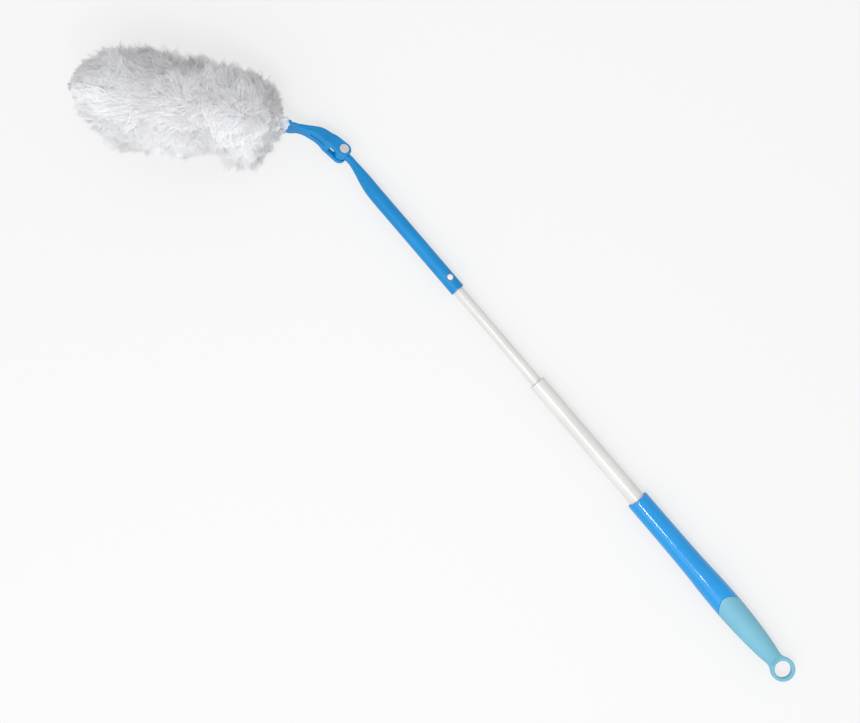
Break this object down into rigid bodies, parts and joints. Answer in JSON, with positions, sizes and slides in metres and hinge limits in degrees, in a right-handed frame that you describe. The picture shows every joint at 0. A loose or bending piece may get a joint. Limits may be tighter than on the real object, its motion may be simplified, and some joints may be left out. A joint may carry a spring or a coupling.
{
  "type": "extendable duster",
  "caption": "Extendable duster with a fluffy slide-on head, a click-stop tilt joint, a twist-lock telescopic pole and a soft grip with a hanging ring.",
  "frame": {"origin": "centre of the hanging ring's hole", "axes": "+Z along the ring's hole, straight up as the duster lies on its side; +X along the pole towards the head; +Y the side the head tilts to"},
  "size_m": [0.8571, 0.175, 0.1287],
  "materials": {
    "soft_grip": "matte",
    "blue_gloss": "gloss",
    "blue_matte": "satin",
    "white_tube": "satin",
    "white_nylon": "satin",
    "spring_steel": "satin",
    "clear_film": "gloss",
    "non_woven": "matte",
    "fibres": "matte"
  },
  "bodies": {
    "handle": {"hanging_grip": "soft_grip", "handle_tube": "blue_gloss", "handle_bush": "white_nylon"},
    "outer_lock": {"outer_lock_expander": "white_nylon"},
    "outer_tube": {"outer_tube": "white_tube", "outer_tube_bush": "white_nylon", "outer_lock_plug": "blue_matte", "outer_lock_stop": "blue_matte"},
    "inner_lock": {"inner_lock_expander": "white_nylon"},
    "inner_tube": {"inner_tube": "white_tube", "inner_lock_plug": "blue_matte", "inner_lock_stop": "blue_matte", "snap_spring": "spring_steel", "neck_tube": "blue_matte"},
    "snap_button": {"snap_button": "white_nylon"},
    "head": {"head_arm": "blue_matte", "hinge_pin": "white_nylon", "hinge_pin_cap": "white_nylon", "pawl_spring": "spring_steel"},
    "tilt_pawl": {"tilt_pawl": "white_nylon"},
    "refill": {"pocket_film": "clear_film", "refill_backing": "non_woven", "upper_fibres": "fibres", "lower_fibres": "fibres"}
  },
  "joints": [
    {"name": "outer_tube_slide", "type": "slide", "parent": "handle", "child": "outer_lock", "axis": [1, 0, 0], "range_m": [-0.13, 0]},
    {"name": "outer_tube_twist", "type": "hinge", "parent": "outer_lock", "child": "outer_tube", "pos_m": [0.18, 0, 0], "axis": [1, 0, 0], "range_deg": [0, 60]},
    {"name": "inner_tube_slide", "type": "slide", "parent": "outer_tube", "child": "inner_lock", "axis": [1, 0, 0], "range_m": [-0.112, 0]},
    {"name": "inner_tube_twist", "type": "hinge", "parent": "inner_lock", "child": "inner_tube", "pos_m": [0.32, 0, 0], "axis": [1, 0, 0], "range_deg": [0, 55]},
    {"name": "head_tilt", "type": "hinge", "parent": "inner_tube", "child": "head", "pos_m": [0.6444, -0.00093, -0.00058], "axis": [0, -0.5299, 0.848], "range_deg": [-45, 45]},
    {"name": "snap_button_press", "type": "slide", "parent": "inner_tube", "child": "snap_button", "axis": [0, 0.4226, -0.9063], "range_m": [0, 0.003], "stiffness_N_per_m": 800, "deforming": ["snap_spring"]},
    {"name": "pawl_click", "type": "slide", "parent": "head", "child": "tilt_pawl", "axis": [0.9703, 0.2052, 0.1282], "range_m": [-0.0008, 0.0005], "stiffness_N_per_m": 1500, "deforming": ["pawl_spring"]},
    {"name": "refill_slide", "type": "slide", "parent": "head", "child": "refill", "axis": [0.6883, 0.6152, 0.3844], "range_m": [0, 0.16]}
  ]
}
